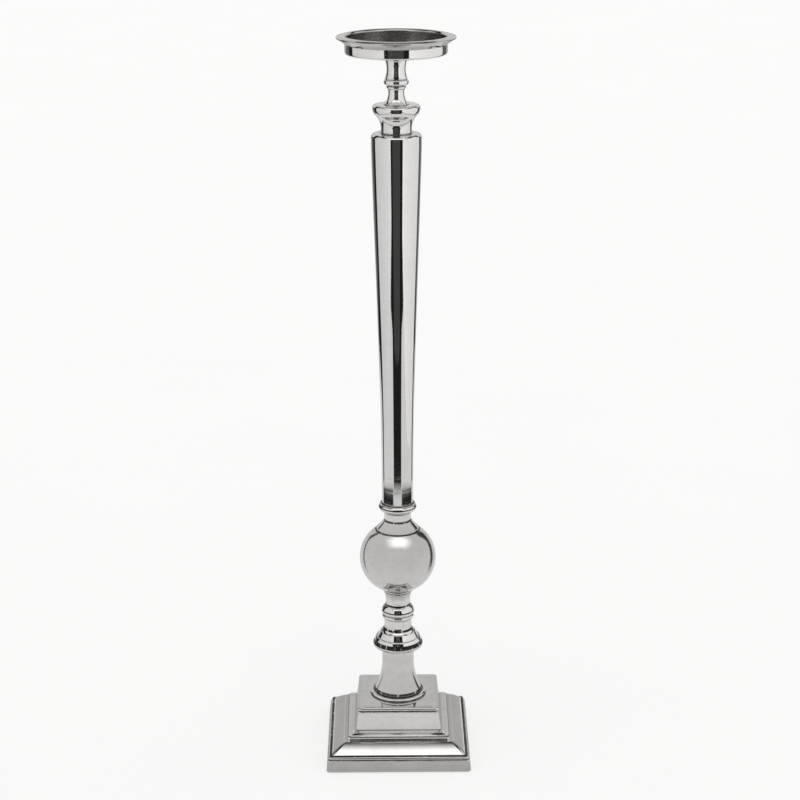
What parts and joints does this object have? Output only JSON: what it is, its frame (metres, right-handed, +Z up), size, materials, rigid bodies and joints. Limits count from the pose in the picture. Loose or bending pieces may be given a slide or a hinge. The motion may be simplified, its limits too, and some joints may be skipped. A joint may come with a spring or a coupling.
{
  "type": "candlestick",
  "caption": "Tall candlestick in silvered metal: a square stepped foot, a turned stem with a ball, a tapering round column and a shallow drip pan for a pillar candle.",
  "frame": {"origin": "centre of the square foot, on the surface the candlestick stands on", "axes": "+Z up along the tie rod; X and Y square to the sides of the foot, with -Y towards the viewer"},
  "size_m": [0.16, 0.16, 0.8],
  "materials": {
    "cast_plate": "polished nickel plate on cast aluminium, with fine filing lines and light wear",
    "polished_plate": "polished nickel plate on turned aluminium, with faint turning marks",
    "bright_plate": "mirror-bright nickel plate on turned and spun aluminium",
    "steel": "zinc-plated steel",
    "felt": "dark grey felt"
  },
  "bodies": {
    "root": {"base_plinth": "cast_plate", "base_block": "cast_plate", "felt_pads": "felt", "base_washer": "steel", "spring_washer": "steel", "base_nut": "steel", "tie_rod": "steel", "stem_foot": "polished_plate", "collar": "polished_plate", "knop": "polished_plate", "ball_cup": "polished_plate", "ball": "polished_plate", "ball_spacer": "steel", "bell_cap": "polished_plate", "column_ring": "polished_plate", "column": "polished_plate", "column_cap": "polished_plate", "spindle": "bright_plate", "drip_pan": "bright_plate", "pan_screw": "steel"}
  },
  "joints": []
}
